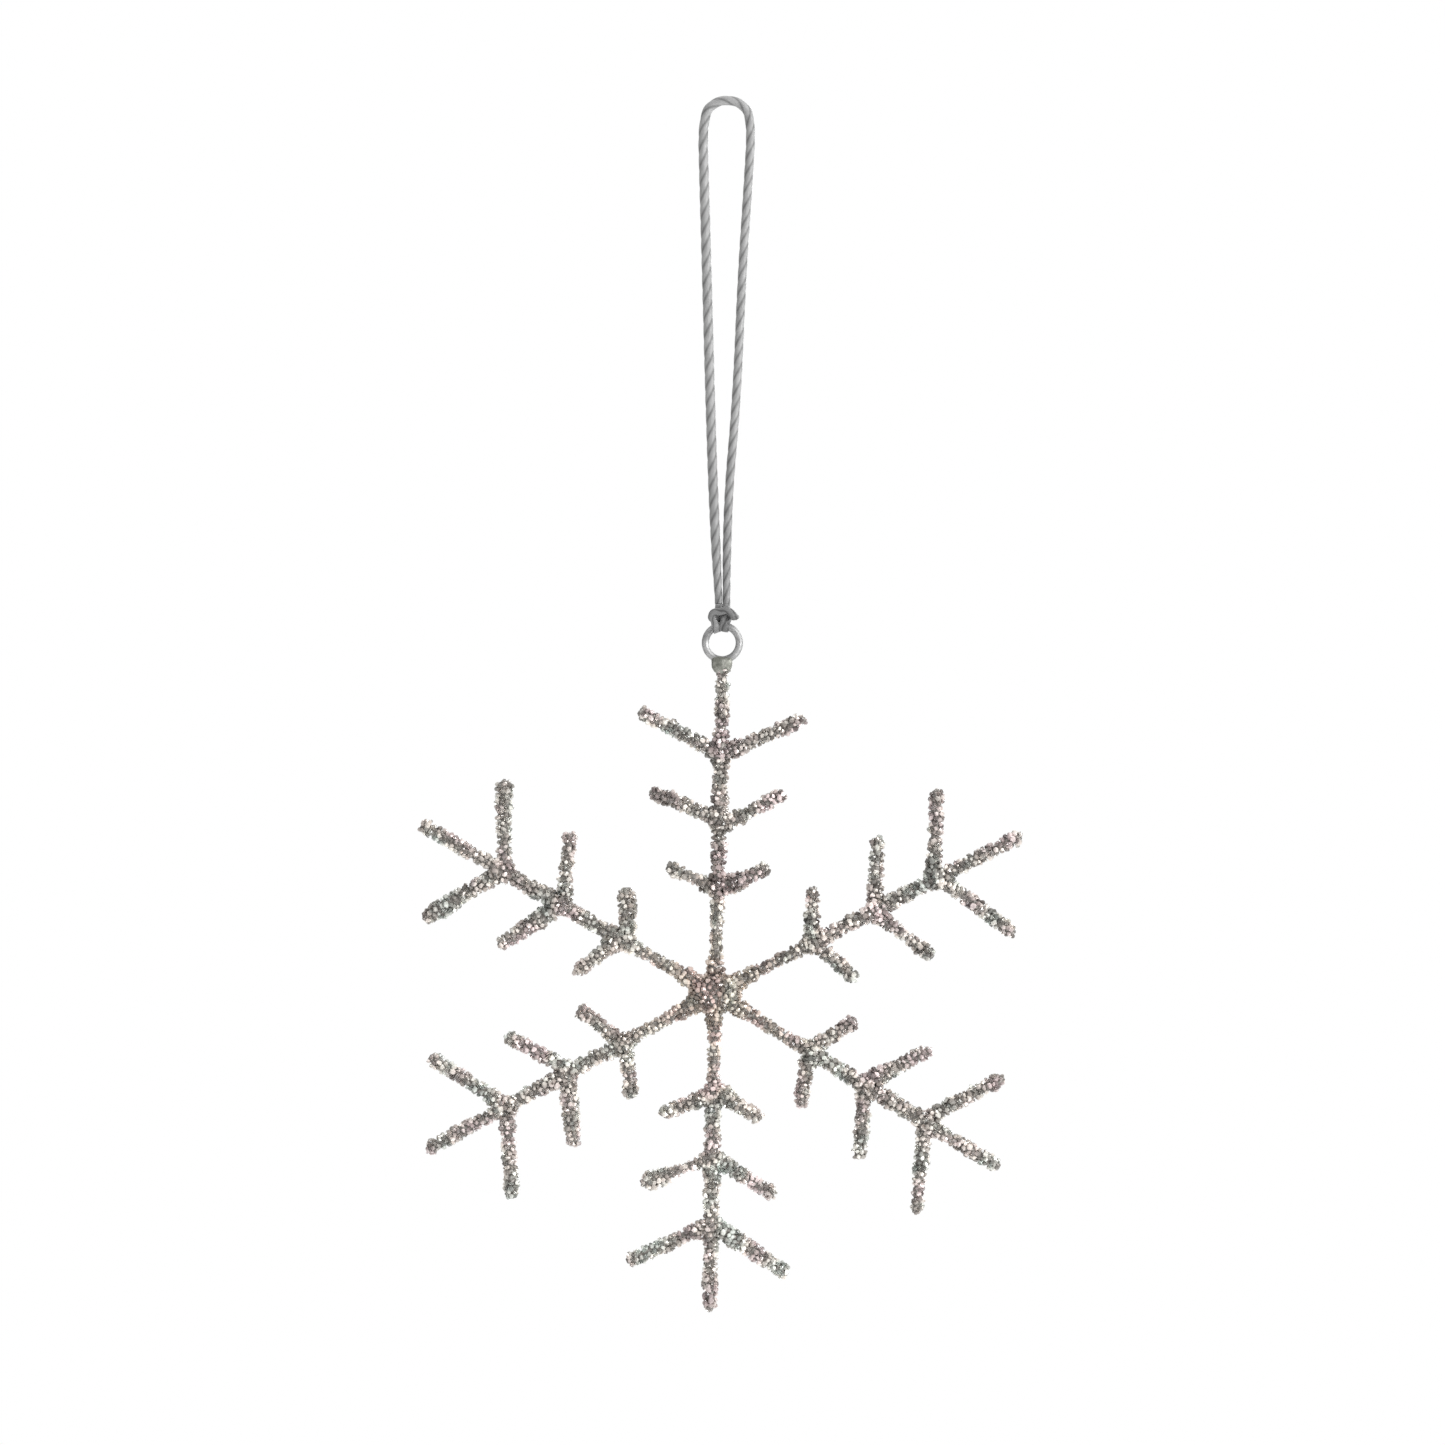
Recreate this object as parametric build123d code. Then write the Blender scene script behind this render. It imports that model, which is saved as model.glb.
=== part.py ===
from build123d import *
import os
from collections import namedtuple
from math import cos, pi, radians, sin, sqrt, tan

# A flat snowflake ornament on a loop of cord.
# Six straight core wires meet at a hub, and each arm carries three forks of two short barbs.
# Every wire is covered with a coarse coat of glass grains, apart from the bare ring at the top.
# The cord loop is hitched round the ring's top wire.
#
# Millimetres, +Z up. The snowflake lies in the XZ plane and its front faces -Y.
# The origin is the inside top of the cord loop, where a hook carries the ornament.

# ---- Core wires and their coat ----
WIRE_DIAMETER = 1.2
ARM_COAT_DIAMETER = 2.7
BARB_COAT_DIAMETER = 2.5
TIP_COVER = 1.0

# ---- Arms and barbs, measured from the hub's centre along each arm ----
ARM_REACH = 55.0
FORK_DISTANCES = {"inner": 17.4, "middle": 28.4, "outer": 39.7}
BARB_LENGTHS = {"inner": 9.4, "middle": 12.4, "outer": 15.3}
BARB_SPLAY = 64.0

# ---- Hub ----
HUB_CORE_DIAMETER = 3.6
HUB_CORE_THICKNESS = 2.4
HUB_COAT_DIAMETER = 5.4
NECK_ROOT_DIAMETER = 4.2
SIDE_NECK_REACH = 4.6
UPRIGHT_NECK_REACH = 3.4

# ---- Ring at the top and the braze that holds it ----
RING_RADIUS = 2.8
RING_WIRE_DIAMETER = 1.2
STEM_LENGTH = 54.4
COLLAR_SKIRT = 1.4
COLLAR_RISE = 1.4
COLLAR_TOP_DIAMETER = 3.2
COLLAR_FOOT_DIAMETER = 2.2
COLLAR_ROUNDING = 0.3

# ---- Cord ----
CORD_DIAMETER = 1.5
HOOK_ARC_RADIUS = 4.05
RUN_SHARE_OF_ARC = 0.45
KNOT_WIDTH = 5.0
KNOT_HEIGHT = 3.5
KNOT_END_ROUNDING = 1.0
HITCH_WIDTH = 2.3
HITCH_DIAMETER = 2.5
HITCH_ROUNDING = 0.15
HITCH_CLEARANCE = 0.06
SWIVEL_GAP = 0.1

# The cord's route in the XZ plane, from the knot up the left strand, over the hook and
# down the right strand. The two strands are pulled tight by the snowflake's weight.
CORD_ROUTE = [
    (-0.05, -82.29),
    (-1.10, -67.45),
    (-2.10, -48.45),
    (-3.00, -28.45),
    (-3.65, -13.45),
    (-4.10, -1.65),
    (-1.70, 0.75),
    (1.70, 0.75),
    (4.10, -1.65),
    (3.55, -13.45),
    (2.90, -28.45),
    (2.05, -48.45),
    (1.40, -67.45),
    (1.55, -82.29),
]
HOOK_CORNERS = (5, 6, 7, 8)

# The snowflake's own centre line hangs a little to one side of the hook.
AXIS_X = 1.0

# ---- Heights that follow from the cord's lower end ----
WIRE_RADIUS = WIRE_DIAMETER / 2
RING_WIRE_RADIUS = RING_WIRE_DIAMETER / 2
KNOT_TOP_Z = CORD_ROUTE[0][1] - SWIVEL_GAP
SWING_Z = KNOT_TOP_Z - KNOT_HEIGHT
RING_Z = SWING_Z - RING_RADIUS
HUB_Z = RING_Z - RING_RADIUS - RING_WIRE_RADIUS - STEM_LENGTH

# ---- Arms ----
# The frame is bent and brazed by hand, so each arm departs a little from the regular star:
# its lean in degrees and its stretch in millimetres, and on each side its barbs' shifts along
# the arm in millimetres and their turns in degrees, from the inner barb to the outer one.
# Left and right are as seen by someone who looks outwards along the arm, from the front.
Side = namedtuple("Side", "shifts turns")
Arm = namedtuple("Arm", "bearing lean stretch left right")
ARMS = {
    "top": Arm(
        90, -0.2, 0.0, Side((-0.3, 0.4, -0.2), (3, 6, 0)), Side((-0.4, -1.1, -0.5), (1, -3, 1))
    ),
    "upper_right": Arm(
        30, -1.6, 1.9, Side((0.5, 1.1, 0.7), (-2, -4, -4)), Side((1.0, 0.9, 2.1), (5, 0, 1))
    ),
    "lower_right": Arm(
        -30, -0.3, 0.2, Side((0.7, 0.4, 0.4), (0, -5, -5)), Side((0.8, 0.6, 0.9), (3, -1, 0))
    ),
    "bottom": Arm(
        -90, 0.2, -2.6, Side((-1.5, -1.5, -1.8), (-5, -5, -7)), Side((-0.6, -1.2, -1.6), (6, 5, 1))
    ),
    "lower_left": Arm(
        -150, -0.3, -0.8, Side((-0.4, -0.8, -0.6), (5, 2, 1)), Side((0.0, -1.5, -0.7), (4, -7, -3))
    ),
    "upper_left": Arm(
        150, 1.4, 1.2, Side((0.9, 1.0, 0.7), (5, 0, -3)), Side((-0.9, 0.5, 0.3), (-5, 2, -4))
    ),
}
UPRIGHT_ARMS = ("top", "bottom")
HUB = Vector(AXIS_X, 0, HUB_Z)
ON_BASE = (Align.CENTER, Align.CENTER, Align.MIN)


def direction(degrees):
    """The direction in the XZ plane that lies so many degrees from +X towards +Z."""
    return Vector(cos(radians(degrees)), 0, sin(radians(degrees)))


def along(start, degrees, distance):
    """The point so far from a start in a direction given in degrees."""
    return start + direction(degrees) * distance


def rod(start, degrees, length, diameter):
    """A round rod with flat ends."""
    frame = Plane(origin=start, z_dir=direction(degrees))
    return frame * Cylinder(diameter / 2, length, align=ON_BASE)


def round_ended_rod(start, degrees, length, diameter):
    """A round rod whose far end is a half ball, within the given length."""
    radius = diameter / 2
    ball = Pos(*along(start, degrees, length - radius)) * Sphere(radius)
    return rod(start, degrees, length - radius, diameter) + ball


def laid_along_x(x, z, shape):
    """Places a shape made about the Z axis so that its axis runs along X through (x, z)."""
    return Plane(origin=(x, 0, z), z_dir=(1, 0, 0)) * shape


# ---- Hub ----


def hub_core():
    """The braze puddle that the six core wires run into."""
    return Plane(origin=HUB, z_dir=(0, 1, 0)) * Cylinder(HUB_CORE_DIAMETER / 2, HUB_CORE_THICKNESS)


def neck_reach(name):
    """How far the hub's coat runs out along an arm before the arm's own coat takes over."""
    return UPRIGHT_NECK_REACH if name in UPRIGHT_ARMS else SIDE_NECK_REACH


def hub_coat(core, wires):
    """The coat over the hub, which thins into a neck on each arm."""
    coat = Pos(*HUB) * Sphere(HUB_COAT_DIAMETER / 2)
    for name in ARMS:
        frame = Plane(origin=HUB, z_dir=direction(arm_heading(name)))
        coat += frame * Cone(
            NECK_ROOT_DIAMETER / 2,
            ARM_COAT_DIAMETER / 2,
            neck_reach(name),
            align=ON_BASE,
        )
    return coat - core - wires


# ---- Arms ----


def arm_heading(name):
    """The direction an arm really takes, in degrees."""
    return ARMS[name].bearing + ARMS[name].lean


def arm_length(name):
    """From the hub's centre to the end of the arm's coat, which is the collar on the top arm."""
    if name == "top":
        return STEM_LENGTH - COLLAR_SKIRT
    return ARM_REACH + ARMS[name].stretch


def arm_wire(name, core, ring):
    """The core wire of an arm. The top one runs on until it meets the ring."""
    length = arm_length(name) - TIP_COVER
    if name == "top":
        length = STEM_LENGTH + RING_WIRE_RADIUS
    return rod(HUB, arm_heading(name), length, WIRE_DIAMETER) - core - ring


def arm_coat(name, wires):
    """The coat of an arm, bored for its core wire and for the barb wires that pass through it."""
    start = along(HUB, arm_heading(name), neck_reach(name))
    length = arm_length(name) - neck_reach(name)
    make = rod if name == "top" else round_ended_rod
    return make(start, arm_heading(name), length, ARM_COAT_DIAMETER) - wires


# ---- Forks ----


def barb_rays(name, fork):
    """Where the two barbs of a fork start, on the arm's axis, and where they point."""
    arm = ARMS[name]
    place = list(FORK_DISTANCES).index(fork)
    rays = []
    for side, sign in ((arm.left, 1), (arm.right, -1)):
        start = along(HUB, arm_heading(name), FORK_DISTANCES[fork] + side.shifts[place])
        rays.append((start, arm_heading(name) + sign * (BARB_SPLAY + side.turns[place])))
    return rays


def barb_wires(name, fork, wire):
    """Two barb wires, each coped to the arm's core wire."""
    length = BARB_LENGTHS[fork] - TIP_COVER
    return [rod(start, heading, length, WIRE_DIAMETER) - wire for start, heading in barb_rays(name, fork)]


def on_side_of_arm(name, heading, shape):
    """What lies on the side of the arm's axis that a barb with this heading points to."""
    sign = 1 if heading > arm_heading(name) else -1
    side = Plane(origin=HUB, z_dir=direction(arm_heading(name) + sign * 90))
    return split(shape, bisect_by=side)


def barb_coats(name, fork, wires):
    """Two barb coats, each coped to the arm's coat, bored for its own wire and kept to its own
    side of the arm, however thick the arm's coat is."""
    envelope = rod(HUB, arm_heading(name), arm_length(name), ARM_COAT_DIAMETER)
    coats = []
    for (start, heading), wire in zip(barb_rays(name, fork), wires):
        coat = round_ended_rod(start, heading, BARB_LENGTHS[fork], BARB_COAT_DIAMETER)
        coats.append(on_side_of_arm(name, heading, coat) - envelope - wire)
    return coats


# ---- Ring and collar ----


def hanger_ring():
    """A ring of bare wire that stands in the snowflake's own plane."""
    frame = Plane(origin=(AXIS_X, 0, RING_Z), z_dir=(0, 1, 0))
    return frame * Torus(RING_RADIUS, RING_WIRE_RADIUS)


def ring_collar(ring, stem):
    """Braze that fills the corner between the stem's end and the ring."""
    foot = along(HUB, arm_heading("top"), arm_length("top"))
    frame = Plane(origin=foot, z_dir=direction(arm_heading("top")))
    cone = Cone(
        COLLAR_FOOT_DIAMETER / 2,
        COLLAR_TOP_DIAMETER / 2,
        COLLAR_SKIRT + COLLAR_RISE,
        align=ON_BASE,
    )
    cone = fillet(cone.edges().group_by(Axis.Z)[-1], COLLAR_ROUNDING)
    return frame * cone - ring - stem


# ---- Cord ----


def corner_radii(points):
    """As large an arc as the runs beside each corner allow, and the hook's own arc round it."""
    radii = []
    for corner in range(1, len(points) - 1):
        before = points[corner] - points[corner - 1]
        after = points[corner + 1] - points[corner]
        half_turn = radians(before.get_angle(after)) / 2
        radius = RUN_SHARE_OF_ARC * min(before.length, after.length) / tan(half_turn)
        radii.append(HOOK_ARC_RADIUS if corner in HOOK_CORNERS else radius)
    return radii


def cord_loop():
    """The cord's two tight strands and the arc over the hook."""
    points = [Vector(x, 0, z) for x, z in CORD_ROUTE]
    radii = corner_radii(points)
    path = FilletPolyline(*points, radius=radii)
    section = Plane(origin=path @ 0, z_dir=path % 0) * Circle(CORD_DIAMETER / 2)
    tube = sweep(section, path)
    print("cord radii", [round(radius, 1) for radius in radii])
    print("cord length", round(path.length, 1))
    print("cord volume", round(tube.volume, 2), "of", round(pi * CORD_DIAMETER**2 / 4 * path.length, 2))
    return tube


def cord_knot():
    """The hitch: two turns round the ring's top wire, under a bar of cord that binds them.
    Its bore opens towards both ends, so that the curved wire turns freely in it."""
    bar_radius = (KNOT_HEIGHT - RING_WIRE_RADIUS - HITCH_CLEARANCE) / 2
    bar = Cylinder(bar_radius, KNOT_WIDTH)
    bar = fillet(bar.edges().filter_by(GeomType.CIRCLE), KNOT_END_ROUNDING)
    bar = laid_along_x(AXIS_X, KNOT_TOP_Z - bar_radius, bar)
    turns = Cylinder(HITCH_DIAMETER / 2, HITCH_WIDTH)
    turns = fillet(turns.edges().filter_by(GeomType.CIRCLE), HITCH_ROUNDING)
    turns = laid_along_x(AXIS_X, SWING_Z, turns)
    throat = RING_RADIUS - RING_WIRE_RADIUS - HITCH_CLEARANCE
    flare = RING_RADIUS - sqrt(throat**2 - (HITCH_WIDTH / 2) ** 2)
    bore = Cylinder(flare, HITCH_WIDTH) - Torus(RING_RADIUS, throat)
    return bar + turns - laid_along_x(AXIS_X, SWING_Z, bore)


# ---- The whole ornament, one file per node ----


def build():
    nodes = {}
    core = hub_core()
    ring = hanger_ring()
    arm_wires = {name: arm_wire(name, core, ring) for name in ARMS}
    nodes["hub_core"] = [core]
    nodes["hub_coat"] = [hub_coat(core, list(arm_wires.values()))]
    for name, wire in arm_wires.items():
        inside_coat = [wire]
        for fork in FORK_DISTANCES:
            wires = barb_wires(name, fork, wire)
            inside_coat += wires
            nodes[f"barb_wires_{name}_{fork}"] = wires
            nodes[f"barb_coats_{name}_{fork}"] = barb_coats(name, fork, wires)
        nodes[f"arm_wire_{name}"] = [wire]
        nodes[f"arm_coat_{name}"] = [arm_coat(name, inside_coat)]
    nodes["hanger_ring"] = [ring]
    nodes["ring_collar"] = [ring_collar(ring, arm_wires["top"])]
    nodes["cord_loop"] = [cord_loop()]
    nodes["cord_knot"] = [cord_knot()]
    return nodes


os.makedirs("parts", exist_ok=True)
for node, pieces in build().items():
    solids = [solid for piece in pieces for solid in piece.solids()]
    shape = solids[0] if len(solids) == 1 else Compound(children=solids)
    export_step(shape, f"parts/{node}.step")
print("hub", round(HUB_Z, 2), "ring", round(RING_Z, 2), "swing axis", round(SWING_Z, 2))
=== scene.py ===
"""A wire snowflake in a coat of glass grains, on a loop of cord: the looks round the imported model.

Metres, +Z up. The snowflake lies in the XZ plane and its front faces -Y.
"""

from collections import namedtuple
from math import copysign, cos, pi, radians, sin, sqrt, tau

import bmesh
import bpy
import numpy as np
from mathutils import Matrix, Vector, noise


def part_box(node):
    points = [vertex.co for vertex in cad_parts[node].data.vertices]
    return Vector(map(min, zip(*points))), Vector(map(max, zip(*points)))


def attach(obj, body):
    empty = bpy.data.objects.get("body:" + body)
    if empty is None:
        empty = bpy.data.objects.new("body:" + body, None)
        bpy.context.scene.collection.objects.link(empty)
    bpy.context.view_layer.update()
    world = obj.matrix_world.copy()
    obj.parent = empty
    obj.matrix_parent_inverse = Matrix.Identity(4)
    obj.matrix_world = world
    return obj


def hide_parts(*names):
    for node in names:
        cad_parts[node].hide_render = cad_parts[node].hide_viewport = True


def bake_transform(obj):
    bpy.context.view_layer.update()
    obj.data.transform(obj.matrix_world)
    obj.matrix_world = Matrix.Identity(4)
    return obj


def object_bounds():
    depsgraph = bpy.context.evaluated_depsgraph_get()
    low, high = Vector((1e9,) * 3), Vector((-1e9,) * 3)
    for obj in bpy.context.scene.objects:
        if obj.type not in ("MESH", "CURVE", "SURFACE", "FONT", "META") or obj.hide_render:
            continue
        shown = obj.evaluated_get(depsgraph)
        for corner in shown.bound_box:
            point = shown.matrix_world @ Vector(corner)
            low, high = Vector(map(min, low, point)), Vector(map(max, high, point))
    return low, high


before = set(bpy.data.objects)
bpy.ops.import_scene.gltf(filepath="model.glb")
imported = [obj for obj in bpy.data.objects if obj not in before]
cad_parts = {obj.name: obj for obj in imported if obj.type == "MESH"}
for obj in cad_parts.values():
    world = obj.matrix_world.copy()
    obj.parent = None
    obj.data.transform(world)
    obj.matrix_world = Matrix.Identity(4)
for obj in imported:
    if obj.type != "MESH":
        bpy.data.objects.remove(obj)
CAD_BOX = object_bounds()
MM = 0.001

ARMS = ("top", "upper_right", "lower_right", "bottom", "lower_left", "upper_left")
FORKS = ("inner", "middle", "outer")


# ---- Camera, light and floor ----

LENS = 100.0
SENSOR = 36.0
CAMERA_PLACE = (1.3 * MM, -662.0 * MM, -101.84 * MM)
CAMERA_ROLL = radians(1.2)
FLOOR_DROP = 0.42
FLOOR_RADIUS = 2.0
FLOOR_GLOW = 0.3

# Each lamp's place, the side of its square, and its power.
LAMPS = {
    "key": ((0.95, -0.6, 0.25), 0.5, 17.0),
    "fill": ((-0.8, -0.9, 0.1), 0.9, 3.0),
    "rim": ((0.55, 0.95, 0.25), 0.6, 8.0),
    "top": ((-0.2, 0.1, 1.0), 0.7, 6.0),
}


def make_camera():
    """Looks straight along +Y, turned a little so that the ornament leans to the right."""
    data = bpy.data.cameras.new("camera")
    data.lens = LENS
    data.sensor_width = SENSOR
    camera = bpy.data.objects.new("camera", data)
    bpy.context.scene.collection.objects.link(camera)
    right = Vector((cos(CAMERA_ROLL), 0, sin(CAMERA_ROLL)))
    up = Vector((-sin(CAMERA_ROLL), 0, cos(CAMERA_ROLL)))
    turn = Matrix((right, up, right.cross(up))).transposed().to_4x4()
    camera.matrix_world = Matrix.Translation(CAMERA_PLACE) @ turn
    bpy.context.scene.camera = camera


def make_lamp(name, place, size, power, aim):
    """A soft square lamp that points at the ornament and isn't seen itself."""
    data = bpy.data.lights.new(name, "AREA")
    data.size = size
    data.energy = power
    lamp = bpy.data.objects.new(name, data)
    bpy.context.scene.collection.objects.link(lamp)
    lamp.location = place
    lamp.rotation_mode = "QUATERNION"
    lamp.rotation_quaternion = (Vector(place) - aim).to_track_quat("Z", "Y")
    lamp.visible_camera = False


def make_world():
    """White where it is seen, also through glass, and a grey that is paler above for all else."""
    world = bpy.data.worlds.new("world")
    world.use_nodes = True
    bpy.context.scene.world = world
    nodes, links = world.node_tree.nodes, world.node_tree.links
    backdrop = nodes["Background"]
    backdrop.inputs["Color"].default_value = (1, 1, 1, 1)
    surroundings = nodes.new("ShaderNodeBackground")
    height = nodes.new("ShaderNodeSeparateXYZ")
    shade = nodes.new("ShaderNodeValToRGB")
    shade.color_ramp.elements[0].position = 0.25
    shade.color_ramp.elements[0].color = (0.22, 0.22, 0.22, 1)
    shade.color_ramp.elements[1].position = 0.8
    shade.color_ramp.elements[1].color = (0.7, 0.7, 0.7, 1)
    direction = nodes.new("ShaderNodeTexCoord")
    half = nodes.new("ShaderNodeMath")
    half.operation = "MULTIPLY_ADD"
    half.inputs[1].default_value = 0.5
    half.inputs[2].default_value = 0.5
    seen = nodes.new("ShaderNodeLightPath")
    choice = nodes.new("ShaderNodeMixShader")
    links.new(direction.outputs["Generated"], height.inputs[0])
    links.new(height.outputs["Z"], half.inputs[0])
    links.new(half.outputs[0], shade.inputs["Fac"])
    links.new(shade.outputs["Color"], surroundings.inputs["Color"])
    through = nodes.new("ShaderNodeMath")
    through.operation = "MAXIMUM"
    links.new(seen.outputs["Is Camera Ray"], through.inputs[0])
    links.new(seen.outputs["Is Transmission Ray"], through.inputs[1])
    links.new(through.outputs[0], choice.inputs["Fac"])
    links.new(surroundings.outputs[0], choice.inputs[1])
    links.new(backdrop.outputs[0], choice.inputs[2])
    links.new(choice.outputs[0], nodes["World Output"].inputs["Surface"])


def make_stage():
    """Floor, lamps and surroundings of a plain pale studio."""
    low, high = CAD_BOX
    middle = (low + high) / 2
    bpy.context.scene.view_settings.view_transform = "Standard"
    make_world()
    for name, (place, size, power) in LAMPS.items():
        make_lamp(name, place, size, power, middle)
    mesh = bpy.data.meshes.new("floor")
    disc = bmesh.new()
    bmesh.ops.create_circle(disc, cap_ends=True, segments=96, radius=FLOOR_RADIUS)
    disc.to_mesh(mesh)
    disc.free()
    floor = bpy.data.objects.new("floor", mesh)
    floor.location = (0, 0, low.z - FLOOR_DROP)
    bpy.context.scene.collection.objects.link(floor)
    glow = {"Emission_Color": (1, 1, 1, 1), "Emission_Strength": FLOOR_GLOW}
    paper = Finish("pale_floor", Roughness=0.9, **glow)
    paper.colour(paper.ramp(paper.noise(6.0), (0.3, (0.86, 0.86, 0.86)), (0.7, (0.9, 0.9, 0.9))))
    mesh.materials.append(paper.material)


# ---- Materials ----


class Finish:
    """A Principled material, with constants set on its sockets, and the nodes that feed it."""

    def __init__(self, name, **constants):
        self.material = bpy.data.materials.new(name)
        self.material.use_nodes = True
        self.nodes = self.material.node_tree.nodes
        self.surface = self.nodes["Principled BSDF"]
        for socket, value in constants.items():
            self.surface.inputs[socket.replace("_", " ")].default_value = value

    def link(self, output, socket):
        self.material.node_tree.links.new(output, socket)

    def colour(self, output):
        self.link(output, self.surface.inputs["Base Color"])

    def roughness(self, output):
        self.link(output, self.surface.inputs["Roughness"])

    def noise(self, scale, detail=3.0, stretch=(1, 1, 1)):
        """Noise over the object's own coordinates, so many cells to a metre."""
        place = self.nodes.new("ShaderNodeTexCoord")
        squeeze = self.nodes.new("ShaderNodeMapping")
        squeeze.inputs["Scale"].default_value = stretch
        texture = self.nodes.new("ShaderNodeTexNoise")
        texture.inputs["Scale"].default_value = scale
        texture.inputs["Detail"].default_value = detail
        self.link(place.outputs["Object"], squeeze.inputs["Vector"])
        self.link(squeeze.outputs["Vector"], texture.inputs["Vector"])
        return texture.outputs["Fac"]

    def attribute(self, name):
        """A number stored on the mesh."""
        reader = self.nodes.new("ShaderNodeAttribute")
        reader.attribute_name = name
        return reader.outputs["Fac"]

    def ramp(self, factor, *stops):
        """A colour for each stop, given as its position and its colour or grey."""
        ramp = self.nodes.new("ShaderNodeValToRGB")
        elements = ramp.color_ramp.elements
        while len(elements) < len(stops):
            elements.new(0.5)
        for element, (position, colour) in zip(elements, stops):
            element.position = position
            shade = colour if isinstance(colour, tuple) else (colour, colour, colour)
            element.color = (*shade, 1)
        self.link(factor, ramp.inputs["Fac"])
        return ramp.outputs["Color"]

    def mix(self, factor, first, second, blend="MIX"):
        """Mixes two colours; the factor is a number or an output."""
        mix = self.nodes.new("ShaderNodeMix")
        mix.data_type = "RGBA"
        mix.blend_type = blend
        if isinstance(factor, float):
            mix.inputs["Factor"].default_value = factor
        else:
            self.link(factor, mix.inputs["Factor"])
        self.link(first, mix.inputs["A"])
        self.link(second, mix.inputs["B"])
        return mix.outputs["Result"]

    def bump(self, height, distance, strength=1.0):
        bump = self.nodes.new("ShaderNodeBump")
        bump.inputs["Strength"].default_value = strength
        bump.inputs["Distance"].default_value = distance
        self.link(height, bump.inputs["Height"])
        self.link(bump.outputs["Normal"], self.surface.inputs["Normal"])


def grain_finish(name, dark, middle, light, **constants):
    """Glass grains: each has its own tone, under drifting warm and green tints and patches."""
    glass = Finish(name, IOR=1.5, **constants)
    tone = glass.ramp(glass.attribute("tone"), (0.0, dark), (0.5, middle), (1.0, light))
    tint = glass.ramp(
        glass.noise(170.0, 2.0),
        (0.35, (0.91, 0.99, 0.95)),
        (0.5, (1.0, 0.96, 0.905)),
        (0.65, (1.0, 0.885, 0.9)),
    )
    warmth = glass.ramp(glass.attribute("warmth"), (0.0, (1, 1, 1)), (1.0, (1.0, 0.92, 0.86)))
    patches = glass.ramp(glass.noise(460.0, 2.0), (0.4, 0.62), (0.58, 1.0))
    tinted = glass.mix(1.0, tint, warmth, "MULTIPLY")
    glass.colour(glass.mix(1.0, glass.mix(1.0, tone, tinted, "MULTIPLY"), patches, "MULTIPLY"))
    glass.roughness(glass.ramp(glass.noise(2600.0), (0.3, 0.06), (0.7, 0.3)))
    glass.bump(glass.noise(5200.0, 4.0), 0.00003, 0.4)
    return glass.material


def glue_and_gap_shade_finish():
    """The clear glue under the grains, coloured dark as painted shade for the gaps between them."""
    shaded_glue = Finish("glue_and_painted_gap_shade", Metallic=0.3, IOR=1.45)
    # Painted shade: dark greys for the gaps between the grains.
    shaded_glue.colour(
        shaded_glue.ramp(
            shaded_glue.noise(2400.0, 4.0),
            (0.3, (0.07, 0.062, 0.056)),
            (0.55, (0.2, 0.185, 0.17)),
            (0.75, (0.5, 0.48, 0.45)),
        )
    )
    shaded_glue.roughness(shaded_glue.ramp(shaded_glue.noise(1800.0), (0.35, 0.25), (0.7, 0.6)))
    shaded_glue.bump(shaded_glue.noise(3000.0, 5.0), 0.0001, 0.8)
    return shaded_glue.material


def wire_finish(name, dull, bright, roughness):
    """Drawn wire: fine marks, with duller patches."""
    wire = Finish(name, Metallic=1.0)
    patches = wire.ramp(wire.noise(420.0, 4.0), (0.35, dull), (0.65, bright))
    marks = wire.ramp(wire.noise(2600.0, 3.0, (0.35, 1, 1)), (0.3, 0.75), (0.7, 1.0))
    wire.colour(wire.mix(1.0, patches, marks, "MULTIPLY"))
    wire.roughness(wire.ramp(wire.noise(900.0, 3.0), (0.3, roughness), (0.7, roughness + 0.2)))
    wire.bump(wire.noise(4200.0, 3.0, (0.3, 1, 1)), 0.00002, 0.35)
    return wire.material


def braze_finish():
    """A dull silver puddle of braze with a faint green cast."""
    braze = Finish("silver_braze", Metallic=0.6)
    braze.colour(
        braze.ramp(
            braze.noise(900.0, 5.0),
            (0.3, (0.1, 0.103, 0.088)),
            (0.5, (0.2, 0.203, 0.18)),
            (0.72, (0.37, 0.37, 0.34)),
        )
    )
    braze.roughness(braze.ramp(braze.noise(1500.0, 4.0), (0.3, 0.5), (0.7, 0.7)))
    braze.bump(braze.noise(1700.0, 5.0), 0.00012, 0.6)
    return braze.material


def cord_finish():
    """Twisted metallic cord with thin filaments: painted shade darkens the grooves between its plies
    and the dips between its filaments, and more painted shade darkens it all over near the hitch."""
    cord = Finish("twisted_cord", Metallic=0.1, Sheen_Weight=0.15, Sheen_Roughness=0.5)
    # Painted shade in the grooves between the plies: darker where the crest is low.
    body_without_knot_shade = cord.ramp(cord.attribute("crest"), (0.0, 0.14), (0.75, 0.33))
    # Painted shade near and in the hitch: a darker copy of the body, mixed in by the painted knot
    # shade on the mesh.
    painted_knot_shade = cord.ramp(cord.attribute("crest"), (0.0, 0.035), (0.75, 0.17))
    body = cord.mix(cord.attribute("painted_knot_shade"), body_without_knot_shade, painted_knot_shade)
    # Painted shade in the dips between the fine filaments.
    threads = cord.ramp(cord.attribute("thread"), (0.0, 0.72), (1.0, 1.0))
    patches = cord.ramp(cord.noise(420.0, 3.0), (0.35, 0.78), (0.65, 1.0))
    cord.colour(cord.mix(1.0, cord.mix(1.0, body, threads, "MULTIPLY"), patches, "MULTIPLY"))
    cord.roughness(cord.ramp(cord.noise(2200.0), (0.3, 0.5), (0.7, 0.75)))
    cord.bump(cord.noise(6500.0, 4.0), 0.00003, 0.5)
    return cord.material


# ---- Meshes ----


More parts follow.
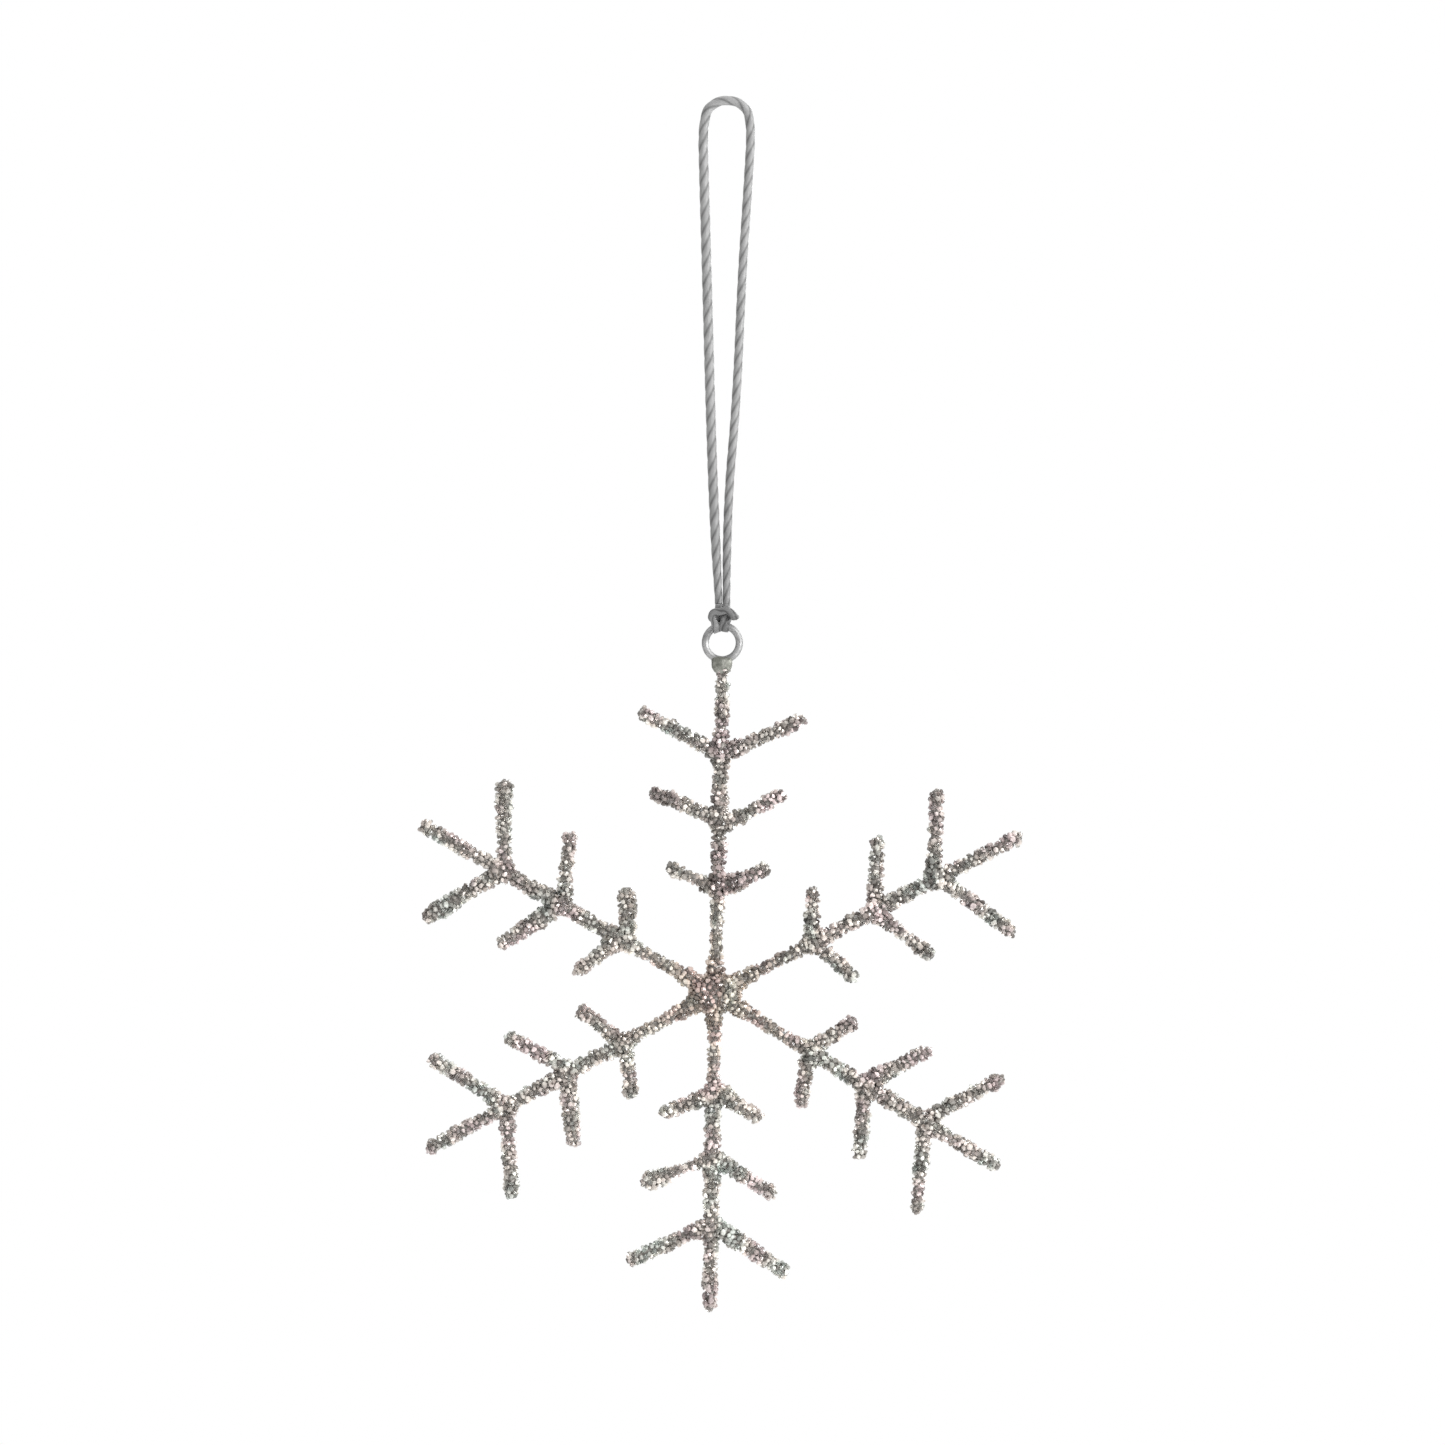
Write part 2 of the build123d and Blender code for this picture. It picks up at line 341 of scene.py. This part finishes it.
def make_piece(name, body, vertices, faces, materials, replaced=()):
    """A mesh piece that rides on a body and stands for CAD nodes."""
    mesh = bpy.data.meshes.new(name)
    mesh.from_pydata(vertices, [], faces)
    for material in materials:
        mesh.materials.append(material)
    piece = bpy.data.objects.new(name, mesh)
    bpy.context.scene.collection.objects.link(piece)
    if body:
        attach(piece, body)
    if replaced:
        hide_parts(*replaced)
    return piece


def tube_faces(rings, sides):
    """The faces of a tube of so many rings of points, closed at both ends."""
    faces = []
    for ring in range(rings - 1):
        low = ring * sides
        high = (ring + 1) * sides
        for side in range(sides):
            after = (side + 1) % sides
            faces.append((low + side, low + after, high + after, high + side))
    faces.append(tuple(reversed(range(sides))))
    faces.append(tuple(range((rings - 1) * sides, rings * sides)))
    return faces


def store(mesh, name, values):
    """Keeps a number for each vertex."""
    attribute = mesh.attributes.new(name, "FLOAT", "POINT")
    attribute.data.foreach_set("value", np.asarray(values, np.float32))


def smooth_line(points, resolution=24):
    """Points along the NURBS spline that has these control points."""
    curve = bpy.data.curves.new("route", "CURVE")
    curve.dimensions = "3D"
    curve.resolution_u = resolution
    spline = curve.splines.new("NURBS")
    spline.points.add(len(points) - 1)
    for spot, point in zip(spline.points, points):
        spot.co = (*point, 1)
    spline.order_u = 3
    spline.use_endpoint_u = True
    holder = bpy.data.objects.new("route", curve)
    mesh = bpy.data.meshes.new_from_object(holder)
    line = np.array([vertex.co for vertex in mesh.vertices])
    bpy.data.objects.remove(holder)
    bpy.data.curves.remove(curve)
    bpy.data.meshes.remove(mesh)
    return line


def even_steps(line, step):
    """The same line with points at an even distance, and how far along each one is."""
    runs = np.linalg.norm(np.diff(line, axis=0), axis=1)
    distance = np.concatenate([[0], np.cumsum(runs)])
    count = max(2, round(distance[-1] / step) + 1)
    places = np.linspace(0, distance[-1], count)
    points = np.stack([np.interp(places, distance, line[:, axis]) for axis in range(3)], axis=1)
    return points, places


def frames_along(points):
    """Two directions square to the line at each point, carried along without twist."""
    tangents = np.gradient(points, axis=0)
    tangents /= np.linalg.norm(tangents, axis=1)[:, None]
    side = np.cross(tangents[0], (0, 1, 0))
    firsts = []
    for tangent in tangents:
        side = side - tangent * (side @ tangent)
        side = side / np.linalg.norm(side)
        firsts.append(side)
    firsts = np.array(firsts)
    return firsts, np.cross(tangents, firsts)


# ---- Cord ----

CORD_DIAMETER = 1.5 * MM
PLIES = 3
PLY_PITCH = 8.4 * MM
GROOVE_DEPTH = 0.12
THREADS = 21
THREAD_DEPTH = 0.035
LEFT_SWELL = 0.12
HITCH_PINCH = 0.14
HITCH_LEAD = 0.45 * MM
PINCH_REACH = 7 * MM
# Painted shade near and in the hitch: how strong it is at the strands' ends, and how far it reaches
# along them and into the hitch's ends.
STRAND_KNOT_SHADE = 0.4
KNOT_SHADE_REACH = 22 * MM
HITCH_KNOT_SHADE_REACH = 1.5 * MM
CORD_STEP = 0.18 * MM
CORD_SIDES = 60

# The cord's route in the XZ plane, in millimetres: up the left strand, over the hook and down
# the right strand.
CORD_ROUTE = [
    (0.28, -82.29),
    (-0.82, -67.45),
    (-1.85, -48.45),
    (-2.80, -28.45),
    (-3.55, -13.45),
    (-4.10, -1.65),
    (-1.70, 0.75),
    (1.70, 0.75),
    (4.10, -1.65),
    (3.65, -13.45),
    (2.95, -28.45),
    (2.55, -48.45),
    (1.25, -67.45),
    (1.55, -82.29),
]


def near_ends(places, reach):
    """1 at both ends of a line, about a third at this distance from them, and soon 0."""
    from_end = np.minimum(places, places[-1] - places)
    return np.exp(-((from_end / reach) ** 2))


def rope(name, line, material, girth, knot_shade_share):
    """A twisted cord along a line: its plies are lobes, with fine threads that run across them.
    Its girth, as a share of the cord's, and its painted knot shade are functions of distance."""
    points, places = even_steps(line, CORD_STEP)
    firsts, seconds = frames_along(points)
    around = np.linspace(0, tau, CORD_SIDES, endpoint=False)
    lobes = np.abs(np.cos(PLIES / 2 * (around[None, :] - tau * places[:, None] / PLY_PITCH)))
    threads = 0.5 + 0.5 * np.cos(THREADS * around[None, :] + tau * places[:, None] / PLY_PITCH)
    relief = 1 - GROOVE_DEPTH * (1 - lobes**0.7) - THREAD_DEPTH * (1 - threads)
    radius = CORD_DIAMETER / 2 * girth(places)[:, None] * relief
    turned = np.cos(around)[None, :, None] * firsts[:, None, :]
    turned = turned + np.sin(around)[None, :, None] * seconds[:, None, :]
    vertices = (points[:, None, :] + radius[:, :, None] * turned).reshape(-1, 3)
    faces = tube_faces(len(points), CORD_SIDES)
    piece = make_piece(name, None, vertices.tolist(), faces, [material])
    piece.data.shade_smooth()
    store(piece.data, "crest", lobes.ravel())
    store(piece.data, "thread", threads.ravel())
    store(piece.data, "painted_knot_shade", np.repeat(knot_shade_share(places), CORD_SIDES))
    return piece, points


def hitch_line():
    """The cord's path through the hitch, from the foot of the left strand to that of the right:
    round the ring's wire, across the front as a bar, and round the wire again. It leaves each
    strand in line with it. The turns are in millimetres from the axis of the ring's top wire."""
    low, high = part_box("hanger_ring")
    wire_radius = (high.y - low.y) / 2
    axis = Vector(((low.x + high.x) / 2, 0, high.z - wire_radius))
    feet, leads = [], []
    for foot, above in (CORD_ROUTE[:2], CORD_ROUTE[:-3:-1]):
        foot = Vector((foot[0], 0, foot[1])) * MM
        down = foot - Vector((above[0], 0, above[1])) * MM
        feet.append(foot)
        leads.append(foot + down.normalized() * HITCH_LEAD)
    turns = [
        (-0.80, 0.55, 2.30),
        (-0.75, 0.98, 1.10),
        (-0.72, 0.95, -0.95),
        (-0.85, -0.95, -0.95),
        (-1.25, -1.10, 0.40),
        (-2.00, -1.45, 1.15),
        (-1.65, -1.45, 2.20),
        (-0.50, -1.50, 2.20),
        (0.45, -1.60, 2.65),
        (1.35, -1.60, 2.15),
        (2.10, -1.50, 1.20),
        (2.00, -0.60, 1.50),
        (1.40, 0.40, 1.60),
        (0.70, 0.98, 1.00),
        (0.35, 0.95, -0.95),
        (0.25, -0.95, -0.95),
        (0.10, -1.00, 0.70),
        (0.45, -0.40, 2.20),
    ]
    middle = [axis + Vector(point) * MM for point in turns]
    line = smooth_line([feet[0], leads[0], *middle, leads[1], feet[1]])
    return axis, wire_radius, line


def press_onto_wire(mesh, axis, wire_radius, ring_radius):
    """Flattens the hitch's turns against the ring's wire, clear of the wire as the ring swings."""
    clearance = 0.06 * MM
    squeeze = 0.3
    start = 0.4 * MM
    loose_above = 1.4 * MM
    fade = 1.0 * MM
    throat = ring_radius - wire_radius - clearance
    edge = 0.9 * throat
    for vertex in mesh.vertices:
        offset = vertex.co - axis
        distance = sqrt(offset.y**2 + offset.z**2)
        reach = min(abs(offset.x), edge)
        bore = ring_radius - sqrt(throat**2 - reach**2)
        pressed = bore + max(0.0, distance - start) * squeeze
        share = min(1.0, max(0.0, (loose_above - offset.z) / fade))
        wanted = max(bore, distance + (pressed - distance) * share)
        vertex.co.y = axis.y + offset.y * wanted / distance
        vertex.co.z = axis.z + offset.z * wanted / distance
        if abs(offset.x) > edge:
            vertex.co.z = max(vertex.co.z, axis.z + wire_radius + clearance)


def loop_girth(places):
    """The left strand is the thicker one, and both are drawn thin just above the hitch."""
    left = LEFT_SWELL / (1 + np.exp((places - places[-1] / 2) / (6 * MM)))
    return 1 + left - (HITCH_PINCH + left) * near_ends(places, PINCH_REACH)


def loop_knot_shade(places):
    """Painted shade on the strands, stronger towards the hitch."""
    return STRAND_KNOT_SHADE * near_ends(places, KNOT_SHADE_REACH)


def hitch_girth(places):
    """As thin all along as the strands are at their feet."""
    return np.full(len(places), 1 - HITCH_PINCH)


def hitch_knot_shade(places):
    """Painted shade, strong all along the hitch, and as strong as on the strands where it meets
    them.
    """
    return 1 - (1 - STRAND_KNOT_SHADE) * near_ends(places, HITCH_KNOT_SHADE_REACH)


def make_cord():
    """The loop, whose twist runs from the hook down to the hitch, and the hitch."""
    finish = cord_finish()
    route = [Vector((x, 0, z)) * MM for x, z in CORD_ROUTE]
    loop, path = rope("cord", smooth_line(route), finish, loop_girth, loop_knot_shade)
    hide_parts("cord_loop")
    axis, wire_radius, line = hitch_line()
    low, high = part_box("hanger_ring")
    hitch, _ = rope("cord_hitch", line, finish, hitch_girth, hitch_knot_shade)
    press_onto_wire(hitch.data, axis, wire_radius, (high.z - low.z) / 2 - wire_radius)
    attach(hitch, "hitch")
    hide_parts("cord_knot")
    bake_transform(loop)


# ---- The rods that the coats follow, read from the frame ----

TIP_BAND = 0.1 * MM

# A rod's coat reaches from bare to length, both measured from its start.
Rod = namedtuple("Rod", "start direction length radius bare")


def corners(node):
    """A CAD node's vertices as an array."""
    return np.array([vertex.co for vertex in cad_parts[node].data.vertices])


def arm_rod(name, hub):
    """An arm's axis, from the hub's centre to the end of its coat."""
    points = corners(f"arm_coat_{name}") - hub
    direction = points.mean(axis=0)
    for _ in range(2):
        direction = direction / np.linalg.norm(direction)
        reach = points @ direction
        direction = points[reach > reach.max() - TIP_BAND].mean(axis=0)
    direction = direction / np.linalg.norm(direction)
    radius = np.abs(points[:, 1]).max()
    return Rod(hub, direction, (points @ direction).max(), radius, (points @ direction).min())


def barb_rods(name, fork, arm):
    """The axes of a fork's two barbs, each from the arm's axis to the tip of its coat."""
    across = np.cross(arm.direction, (0, 1, 0))
    rods = []
    for sign in (1, -1):
        wire = corners(f"barb_wires_{name}_{fork}") - arm.start
        wire = wire[wire @ across * sign > 0]
        direction = np.linalg.svd(wire - wire.mean(axis=0))[2][0]
        direction = direction * np.sign(direction @ across * sign)
        reach = wire @ direction
        tip = wire[reach > reach.max() - TIP_BAND].mean(axis=0)
        start = tip - direction * (tip @ across) / (direction @ across)
        coat = corners(f"barb_coats_{name}_{fork}") - arm.start
        coat = coat[coat @ across * sign > 0]
        length = ((coat - start) @ direction).max()
        radius = np.abs(coat[:, 1]).max()
        rods.append(Rod(arm.start + start, direction, length, radius, arm.radius * 0.6))
    return rods


# ---- The coat of glass grains ----

GRAIN_PITCH = 0.86 * MM
GRAIN_RADIUS = 0.47 * MM
GRAIN_SEED = 11
CHIP_KINDS = 24
CHIP_CORNERS = 14
CHIP_TURN = 2.4
GOLDEN_ANGLE = 2.39996
OUTLINE_STEP = 0.1 * MM
UNEVENNESS = 0.13
WANDER = 0.08 * MM
FILM_SIDES = 20
FILM_DEPTH = 0.55 * MM
FILM_LEAST = 0.66 * MM
CLEAR_SHARE = 0.29
CLEAR_GAIN = 0.4
TINT_REACH = 15 * MM

# The hub's ball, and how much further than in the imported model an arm's coat reaches: inwards for
# each arm, and outwards for the top one.
HUB_HALF_AXES = (4.5 * MM, 2.6 * MM, 3.5 * MM)
INTO_HUB = 2.0 * MM
UNDER_COLLAR = 1.9 * MM

# Lumps of coat: how high each is, how far it spreads along the rod, and how far it sits inwards of
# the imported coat's start or outwards of the fork. The stem below the ring is a little thinner.
NECK_SWELL, NECK_SPREAD, NECK_INSET = 0.55 * MM, 2.6 * MM, 0.6 * MM
FORK_SWELL, FORK_SPREAD, FORK_OUTSET = 0.28 * MM, 1.7 * MM, 0.6 * MM
ROOT_SWELL, ROOT_SPREAD = 0.24 * MM, 2.0 * MM
STEM_SWELL, STEM_SPREAD = -0.14 * MM, 5 * MM
ODD_SPREAD = 0.22

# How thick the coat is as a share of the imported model's: an arm's at distances from the hub in
# millimetres, and every barb's.
ARM_GIRTH = (
    (8, 0.82),
    (14, 0.84),
    (20, 0.97),
    (25, 0.97),
    (31, 1.06),
    (36, 1.03),
    (44, 0.91),
    (54, 0.97),
)
BARB_GIRTH = 1.02

# The tone of the darkest grains, from 0 to 1; paler coats have more clear grains too.
PALENESS = {
    "hub": 0.16,
    "top": 0.06,
    "upper_right": 0.05,
    "lower_right": 0.2,
    "bottom": 0.44,
    "lower_left": 0.31,
    "upper_left": 0.24,
}

# Barbs whose coat differs from the rest: places along them as shares of their length, and the
# change in radius there in millimetres. Each spreads over ODD_SPREAD of the barb's length. Side 0
# is anticlockwise from the arm, seen from the front.
ODD_BARBS = {
    ("top", "inner", 0): [(0.5, -0.3)],
    ("top", "inner", 1): [(0.25, 0.3)],
    ("upper_right", "middle", 1): [(0.5, -0.25)],
    ("lower_right", "outer", 1): [(0.8, -0.25)],
    ("lower_right", "middle", 0): [(0.25, 0.25)],
    ("bottom", "inner", 0): [(0.25, 0.3)],
    ("bottom", "middle", 1): [(0.42, -0.38), (0.8, 0.3)],
    ("bottom", "outer", 0): [(0.4, 0.3)],
    ("lower_left", "middle", 0): [(0.4, 0.35)],
    ("upper_left", "inner", 1): [(0.6, 0.4)],
    ("upper_left", "middle", 0): [(0.4, 0.4)],
    ("upper_left", "outer", 0): [(0.7, 0.4)],
    ("upper_left", "outer", 1): [(0.85, 0.25)],
}


def on_ball(height, angle):
    """Points on a ball of radius 1, at these heights and angles."""
    rim = np.sqrt(1 - height**2)
    return np.stack([rim * np.cos(angle), rim * np.sin(angle), height], 1)


def chip_shapes(rng):
    """Broken chips of glass: hulls of points scattered over a ball."""
    shapes = []
    for _ in range(CHIP_KINDS):
        turn = rng.uniform(0, tau)
        height = np.linspace(-1, 1, CHIP_CORNERS + 2)[1:-1]
        ball = on_ball(height, turn + np.arange(CHIP_CORNERS) * CHIP_TURN)
        ball = ball + rng.normal(0, 0.22, ball.shape)
        ball = ball / np.linalg.norm(ball, axis=1)[:, None]
        hull = bmesh.new()
        for point in ball:
            hull.verts.new(point)
        bmesh.ops.convex_hull(hull, input=hull.verts)
        hull.verts.index_update()
        faces = np.array([[vertex.index for vertex in face.verts] for face in hull.faces])
        points = np.array([vertex.co for vertex in hull.verts])
        hull.free()
        shapes.append((points, faces))
    return shapes


def random_turns(rng, count):
    """So many random rotation matrices."""
    q = rng.normal(size=(count, 4))
    w, x, y, z = (q / np.linalg.norm(q, axis=1)[:, None]).T
    rows = [
        [1 - 2 * (y * y + z * z), 2 * (x * y - z * w), 2 * (x * z + y * w)],
        [2 * (x * y + z * w), 1 - 2 * (x * x + z * z), 2 * (y * z - x * w)],
        [2 * (x * z - y * w), 2 * (y * z + x * w), 1 - 2 * (x * x + y * y)],
    ]
    return np.array(rows).transpose(2, 0, 1)


def slow_waves(rng, lengths):
    """A smooth random function of distance, from about -1 to 1, with waves of these lengths."""
    phases = rng.uniform(0, tau, len(lengths))

    def value(distance):
        waves = [np.sin(tau * distance / length + phase) for length, phase in zip(lengths, phases)]
        return sum(waves) / len(lengths)

    return value


def outline(rod, rng, bumps, girth):
    """The coat's outline along a rod: distances along it and radii, with a rounded end."""
    thickness = slow_waves(rng, (2.6 * MM, 4.7 * MM, 8.3 * MM))
    distance = np.arange(rod.bare, rod.length, OUTLINE_STEP)
    shares = np.interp(distance / MM, *zip(*girth))
    radius = rod.radius * shares * (1 + UNEVENNESS * thickness(distance))
    for centre, height, spread in bumps:
        radius = radius + height * np.exp(-(((distance - centre) / spread) ** 2))
    cap = 0.95 * rod.radius
    into_cap = np.clip((distance - (rod.length - cap)) / cap, 0, 1)
    radius = radius * np.sqrt(np.clip(1 - into_cap**2.2, 0.0, 1))
    return distance, radius


def along_rod(rod, rng, bumps, girth):
    """Grain places and outward directions in rows round a rod, and the film's rings beneath."""
    distance, radius = outline(rod, rng, bumps, girth)
    wander = [slow_waves(rng, (6.1 * MM, 11.0 * MM)) for _ in range(2)]
    across = np.cross(rod.direction, (0, 1, 0))
    front = np.array((0, -1.0, 0))

    def centre(at):
        drift = across * wander[0](at) + front * wander[1](at)
        return rod.start + rod.direction * at + drift * WANDER

    steps = np.hypot(np.diff(distance), np.diff(radius))
    surface = np.concatenate([[0], np.cumsum(steps)])
    places, normals = [], []
    row = rng.uniform(0, 0.5) * GRAIN_PITCH
    while row < surface[-1] + GRAIN_PITCH / 2:
        at = np.interp(row, surface, distance)
        size = np.interp(row, surface, radius)
        slope = np.interp(row, surface[1:], np.diff(radius) / np.diff(distance))
        count = max(1, round(tau * max(size - GRAIN_RADIUS * 0.5, 0) / GRAIN_PITCH))
        turn = rng.uniform(0, tau)
        for number in range(count):
            angle = turn + tau * (number + rng.uniform(-0.22, 0.22)) / count
            shift = at + rng.uniform(-0.3, 0.3) * GRAIN_PITCH
            out = across * cos(angle) + front * sin(angle)
            normal = out - rod.direction * slope
            normals.append(normal / np.linalg.norm(normal))
            depth = GRAIN_RADIUS * rng.uniform(0.45, 0.95)
            places.append(centre(shift) + out * size - normals[-1] * depth)
        row += GRAIN_PITCH * rng.uniform(0.85, 1.1)
    around = np.linspace(0, tau, FILM_SIDES, endpoint=False)
    rings = []
    for at, size in zip(distance[::4], radius[::4]):
        least = min(FILM_LEAST, 0.8 * size) + 0.02 * MM
        bumpy = np.maximum(size - FILM_DEPTH * rng.uniform(0.75, 1.25, FILM_SIDES), least)
        ring = []
        for angle, spread in zip(around, bumpy):
            ring.append(centre(at) + spread * (across * cos(angle) + front * sin(angle)))
        rings.append(ring)
    return places, normals, rings


def around_hub(hub, half_axes, rng):
    """Grain places and outward directions over the hub's flattened ball."""
    half = np.array(half_axes)
    count = int(4 * pi * (half.prod() ** (2 / 3)) / GRAIN_PITCH**2)
    height = 1 - 2 * (np.arange(count) + 0.5) / count
    ball = on_ball(height, np.arange(count) * GOLDEN_ANGLE)[:, [0, 2, 1]]
    normals = ball / half
    normals = normals / np.linalg.norm(normals, axis=1)[:, None]
    depth = GRAIN_RADIUS * rng.uniform(0.4, 0.9, count)
    return hub + ball * half - normals * depth[:, None], normals


def grains(places, normals, shapes, rng, paleness):
    """One mesh of chips at these places: vertices, faces, the tone at each vertex, and the number
    of the chip that each face belongs to."""
    places, normals = np.array(places), np.array(normals)
    count = len(places)
    turns = random_turns(rng, count)
    sizes = GRAIN_RADIUS * rng.uniform(0.78, 1.22, count)
    stretches = rng.uniform(0.72, 1.18, (count, 3))
    kinds = rng.integers(0, len(shapes), count)
    tones = paleness + (1 - paleness) * rng.beta(0.75, 0.6, count)
    vertices, faces, tone, owners = [], [], [], []
    total = 0
    chips = zip(places, turns, sizes, stretches, kinds, tones)
    for place, turn, size, stretch, kind, shade in chips:
        points, chip = shapes[kind]
        owners.append(np.full(len(chip), len(owners)))
        vertices.append(place + (points * stretch) @ turn.T * size)
        faces.append(chip + total)
        tone.append(np.full(len(points), shade))
        total += len(points)
    return tuple(np.concatenate(found) for found in (vertices, faces, tone, owners))


def film(rings):
    """A closed skin through rings of points."""
    vertices = [point for ring in rings for point in ring]
    return vertices, tube_faces(len(rings), len(rings[0]))


def coat_piece(name, node, parts, films, hub, paleness, shapes, finishes, rng):
    """One coat: the glue film below and the glass grains on it, warmer in tint near the hub."""
    places = [place for part in parts for place in part[0]]
    normals = [normal for part in parts for normal in part[1]]
    grain_vertices, grain_faces, tone, owners = grains(places, normals, shapes, rng, paleness)
    vertices, faces = [], []
    for film_vertices, film_faces in films:
        faces += [tuple(corner + len(vertices) for corner in face) for face in film_faces]
        vertices += [tuple(point) for point in film_vertices]
    film_count = len(faces)
    offset = len(vertices)
    faces += [tuple(corner + offset for corner in face) for face in grain_faces.tolist()]
    vertices += grain_vertices.tolist()
    piece = make_piece(name, "snowflake", vertices, faces, finishes, [node])
    slots = np.zeros(len(faces), np.int32)
    clear = CLEAR_SHARE + CLEAR_GAIN * paleness
    slots[film_count:] = 1 + (clear < rng.random(len(places)))[owners]
    piece.data.polygons.foreach_set("material_index", slots)
    smooth = np.zeros(len(faces), bool)
    smooth[:film_count] = True
    piece.data.polygons.foreach_set("use_smooth", smooth)
    store(piece.data, "tone", np.concatenate([np.zeros(offset), tone]))
    from_hub = np.linalg.norm(np.array(vertices) - hub, axis=1)
    store(piece.data, "warmth", np.exp(-((from_hub / TINT_REACH) ** 2)))


def make_coats():
    """The coats of the hub, the arms and the barbs."""
    rng = np.random.default_rng(GRAIN_SEED)
    shapes = chip_shapes(rng)
    clear = ((0.42, 0.4, 0.385), (0.75, 0.73, 0.71), (0.97, 0.97, 0.96))
    silvered = ((0.07, 0.063, 0.061), (0.43, 0.4, 0.385), (0.8, 0.77, 0.75))
    finishes = [
        glue_and_gap_shade_finish(),
        grain_finish("clear_grains", *clear, Transmission_Weight=0.85),
        grain_finish("silvered_grains", *silvered, Metallic=0.2),
    ]
    low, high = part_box("hub_core")
    hub = np.array((low + high) / 2)
    places, normals = around_hub(hub, HUB_HALF_AXES, rng)
    ball = bmesh.new()
    bmesh.ops.create_icosphere(ball, subdivisions=4, radius=1.0)
    inner = np.array(HUB_HALF_AXES) - FILM_DEPTH
    ball_vertices = [hub + np.array(vertex.co) * inner for vertex in ball.verts]
    ball_faces = [tuple(vertex.index for vertex in face.verts) for face in ball.faces]
    ball.free()
    common = (shapes, finishes, rng)
    coat_piece(
        "grains_hub",
        "hub_coat",
        [(places, normals)],
        [(ball_vertices, ball_faces)],
        hub,
        PALENESS["hub"],
        *common,
    )
    for name in ARMS:
        arm = arm_rod(name, hub)
        forks = {fork: barb_rods(name, fork, arm) for fork in FORKS}
        pale = PALENESS[name]
        bumps = [(arm.bare - NECK_INSET, NECK_SWELL, NECK_SPREAD)]
        if name == "top":
            bumps.append((arm.length, STEM_SWELL, STEM_SPREAD))
        for pair in forks.values():
            for barb in pair:
                crotch = (barb.start - arm.start) @ arm.direction + FORK_OUTSET
                bumps.append((crotch, FORK_SWELL, FORK_SPREAD))
        under_collar = UNDER_COLLAR if name == "top" else 0
        arm = arm._replace(bare=arm.bare - INTO_HUB, length=arm.length + under_collar)
        part = along_rod(arm, rng, bumps, ARM_GIRTH)
        coat_piece(
            f"grains_{name}",
            f"arm_coat_{name}",
            [part[:2]],
            [film(part[2])],
            hub,
            pale,
            *common,
        )
        for fork, pair in forks.items():
            parts = []
            for side, barb in enumerate(pair):
                bumps = [(barb.bare, ROOT_SWELL, ROOT_SPREAD)]
                for share, height in ODD_BARBS.get((name, fork, side), []):
                    bumps.append((share * barb.length, height * MM, ODD_SPREAD * barb.length))
                parts.append(along_rod(barb, rng, bumps, [(0, BARB_GIRTH)]))
            coat_piece(
                f"grains_{name}_{fork}",
                f"barb_coats_{name}_{fork}",
                [part[:2] for part in parts],
                [film(part[2]) for part in parts],
                hub,
                pale,
                *common,
            )


# ---- Bare metal ----

COLLAR_WIDTH = 3.9 * MM
COLLAR_FOOT = 2.9 * MM
COLLAR_DEPTH = 2.5 * MM


def make_collar(braze):
    """The braze that holds the ring: a lump that climbs the wire a little on both sides and
    narrows down to the coat."""
    ring_low, ring_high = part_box("hanger_ring")
    centre = (ring_low + ring_high) / 2
    wire_radius = centre.y - ring_low.y
    bore = centre.z - ring_low.z - 2 * wire_radius
    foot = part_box("ring_collar")[0].z - 0.5 * MM
    lump = bmesh.new()
    bmesh.ops.create_icosphere(lump, subdivisions=6, radius=1.0)
    for vertex in lump.verts:
        side, depth, height = (copysign(abs(value) ** 0.8, value) for value in vertex.co)
        share = (height + 1) / 2
        x = side * (COLLAR_FOOT + (COLLAR_WIDTH - COLLAR_FOOT) * share) / 2
        brim = centre.z - 0.1 * MM - sqrt(bore**2 - (0.9 * x) ** 2)
        y = depth * COLLAR_DEPTH / 2
        z = foot + (brim - foot) * share
        place = Vector((centre.x + x, centre.y + y, z))
        coarse = noise.noise(place * 700)
        fine = noise.noise(place * 2300)
        vertex.co = place + vertex.normal * (coarse * 0.16 + fine * 0.06) * MM
    vertices = [tuple(vertex.co) for vertex in lump.verts]
    faces = [tuple(vertex.index for vertex in face.verts) for face in lump.faces]
    lump.free()
    piece = make_piece("collar", "snowflake", vertices, faces, [braze], ["ring_collar"])
    piece.data.shade_smooth()


def finish_metal():
    """The collar, and metal for the CAD nodes that stay: wires, the hub's braze and the ring."""
    core = wire_finish("core_steel", 0.25, 0.45, 0.35)
    ring = wire_finish("ring_wire_grey", 0.3, 0.44, 0.52)
    braze = braze_finish()
    make_collar(braze)
    for name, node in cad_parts.items():
        if node.hide_render:
            continue
        finish = core
        if name == "hub_core":
            finish = braze
        if name == "hanger_ring":
            finish = ring
        for slot in node.material_slots:
            slot.material = finish


make_camera()
make_cord()
make_stage()
make_coats()
finish_metal()
